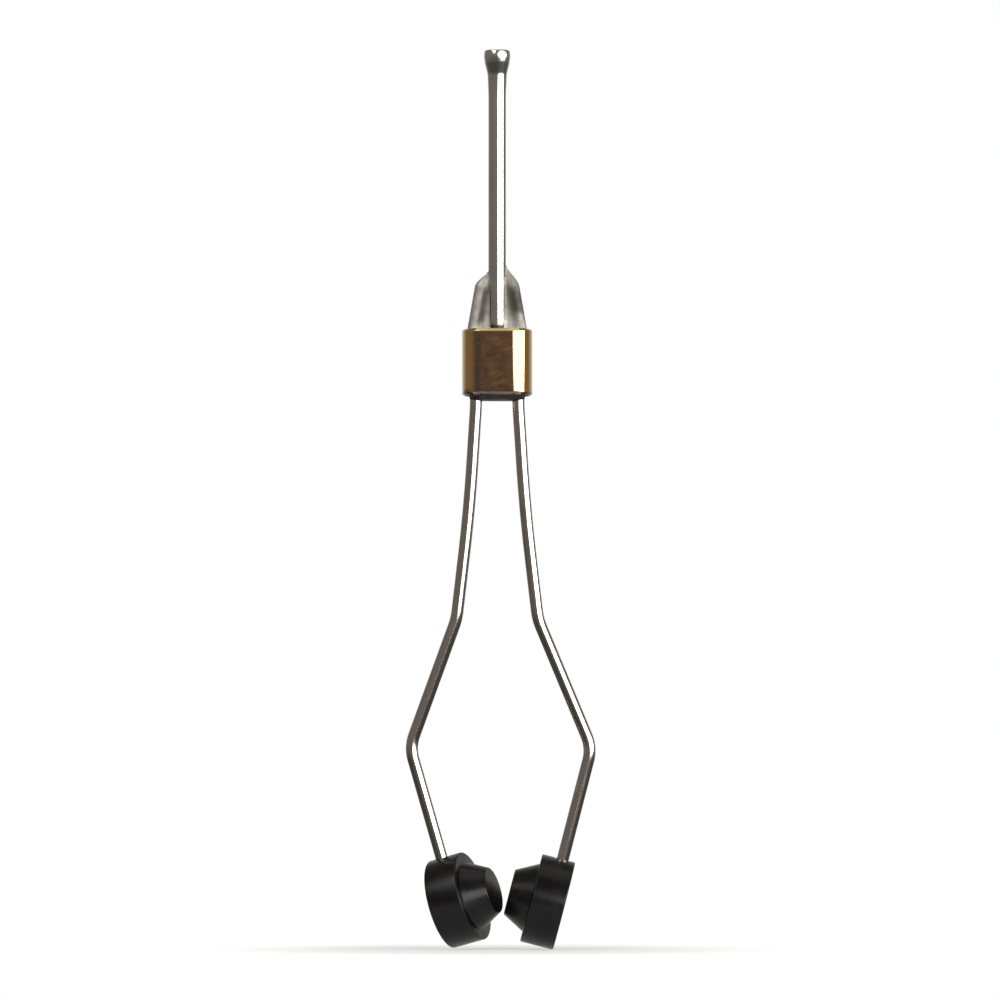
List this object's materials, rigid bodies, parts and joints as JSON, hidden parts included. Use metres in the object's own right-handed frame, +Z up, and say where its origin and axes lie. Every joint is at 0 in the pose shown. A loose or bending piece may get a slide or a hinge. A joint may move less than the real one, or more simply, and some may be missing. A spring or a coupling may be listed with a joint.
{
  "type": "fly tying bobbin holder",
  "caption": "Fly-tying bobbin holder: flared thread tube and sprung wire legs soldered into a brass collar with pressed flats, with swivelling black feet whose conical noses grip a thread spool.",
  "frame": {"origin": "on the axis of the thread bore, level with the underside of the collar", "axes": "+Z up the thread tube to its tip, +X to the right foot, -Y to the viewer of the picture"},
  "size_m": [0.0214, 0.0108, 0.102],
  "materials": {
    "polished_steel_tube": "drawn and polished",
    "turned_brass": "turned, lightly tarnished",
    "satin_solder": "satin",
    "spring_wire": "drawn and polished",
    "black_plastic": "moulded, semi-matte"
  },
  "bodies": {
    "stem": {"thread_tube": "polished_steel_tube", "collar": "turned_brass", "solder_joint": "satin_solder", "left_wire_root": "spring_wire", "right_wire_root": "spring_wire"},
    "left_spring_leg": {"left_leg": "spring_wire"},
    "right_spring_leg": {"right_leg": "spring_wire"},
    "left_spool_foot": {"left_foot": "black_plastic"},
    "right_spool_foot": {"right_foot": "black_plastic"}
  },
  "joints": [
    {"name": "left_leg_flex", "type": "hinge", "parent": "stem", "child": "left_spring_leg", "pos_m": [-0.00236, 0, -0.00055], "axis": [0, 1, 0], "range_deg": [0, 12], "stiffness_Nm_per_rad": 1.8},
    {"name": "right_leg_flex", "type": "hinge", "parent": "stem", "child": "right_spring_leg", "pos_m": [0.00236, 0, -0.00055], "axis": [0, -1, 0], "range_deg": [0, 12], "stiffness_Nm_per_rad": 1.8},
    {"name": "left_foot_swivel", "type": "hinge", "parent": "left_spring_leg", "child": "left_spool_foot", "pos_m": [-0.00488, 0, -0.0572], "axis": [-0.2756, 0, 0.9613], "range_deg": [-27.5, 62.5]},
    {"name": "right_foot_swivel", "type": "hinge", "parent": "right_spring_leg", "child": "right_spool_foot", "pos_m": [0.00614, 0, -0.0574], "axis": [0.2504, 0, 0.9681], "range_deg": [-45, 45]}
  ]
}
